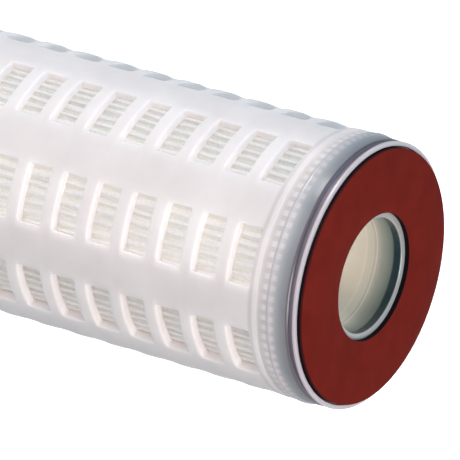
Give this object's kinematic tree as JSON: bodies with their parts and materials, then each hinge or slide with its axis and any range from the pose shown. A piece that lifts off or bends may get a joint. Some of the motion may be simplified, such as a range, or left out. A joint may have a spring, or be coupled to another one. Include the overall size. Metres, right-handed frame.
{
  "type": "pleated filter cartridge",
  "caption": "Double open end pleated filter cartridge: windowed outer cage, folded sheet medium, slotted core, end caps with flange and groove, and flat gaskets.",
  "frame": {"origin": "centre of the lower gasket's face, which is the plane the cartridge stands on", "axes": "+Z along the axis of the cartridge, towards the end that the picture shows; +X through the middle of a row of windows"},
  "size_m": [0.0694, 0.0694, 0.254],
  "materials": {
    "cage_polypropylene": "natural translucent moulded plastic, satin",
    "core_polypropylene": "natural translucent moulded plastic, satin",
    "filter_sheet": "soft white nonwoven fibre sheet, folded",
    "cap_polypropylene": "natural translucent moulded plastic, glossy where it was melted on",
    "red_silicone": "dull brick red silicone rubber"
  },
  "bodies": {
    "root": {"outer_cage": "cage_polypropylene", "inner_core": "core_polypropylene", "pleated_medium": "filter_sheet", "top_end_cap": "cap_polypropylene", "bottom_end_cap": "cap_polypropylene", "top_gasket": "red_silicone", "bottom_gasket": "red_silicone"}
  },
  "joints": []
}
